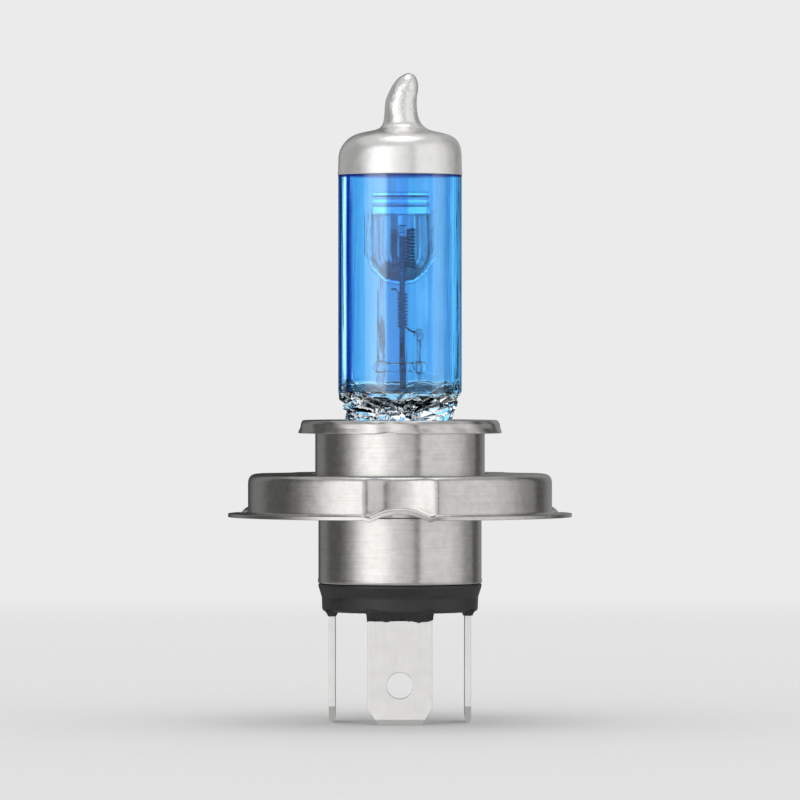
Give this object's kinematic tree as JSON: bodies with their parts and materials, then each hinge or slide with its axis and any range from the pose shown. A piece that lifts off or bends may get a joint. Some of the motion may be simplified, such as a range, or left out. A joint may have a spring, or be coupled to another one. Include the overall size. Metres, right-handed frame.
{
  "type": "headlight bulb",
  "caption": "Two-filament halogen headlight bulb: blue-tinted glass tube with a silver tip, shielded dipped beam coil, scalloped centring ring and flat contact blades.",
  "frame": {"origin": "on the lamp axis, in the reference plane that the crests of the three seating lugs form", "axes": "+Z along the lamp axis towards the exhaust tip; -Y towards the single low beam blade and the open side of the beam shield; +X towards the high beam blade"},
  "size_m": [0.043, 0.043, 0.0811],
  "materials": {
    "quartz": "clear",
    "blue_filter": "clear blue",
    "silver_paint": "satin",
    "tungsten": "matt",
    "molybdenum": "satin",
    "nickel_steel": "brushed",
    "blade_metal": "satin",
    "spring_steel": "satin",
    "black_resin": "matt",
    "black_plastic": "satin"
  },
  "bodies": {
    "root": {"glass_envelope": "quartz", "blue_coating": "blue_filter", "silver_cap": "silver_paint", "low_beam_filament": "tungsten", "high_beam_filament": "tungsten", "beam_shield": "molybdenum", "filament_crimps": "molybdenum", "low_beam_lead": "molybdenum", "high_beam_lead": "molybdenum", "common_lead": "molybdenum", "quartz_bridge": "quartz", "low_beam_foil": "molybdenum", "high_beam_foil": "molybdenum", "common_foil": "molybdenum", "low_beam_wire": "molybdenum", "high_beam_wire": "molybdenum", "earth_wire": "molybdenum", "pinch_clip": "spring_steel", "burner_sleeve": "nickel_steel", "collar": "nickel_steel", "prefocus_ring": "nickel_steel", "lower_shell": "nickel_steel", "insulator": "black_plastic", "blade_sealant": "black_resin", "low_beam_terminal": "blade_metal", "high_beam_terminal": "blade_metal", "earth_terminal": "blade_metal", "weld_joints": "spring_steel"}
  },
  "joints": []
}
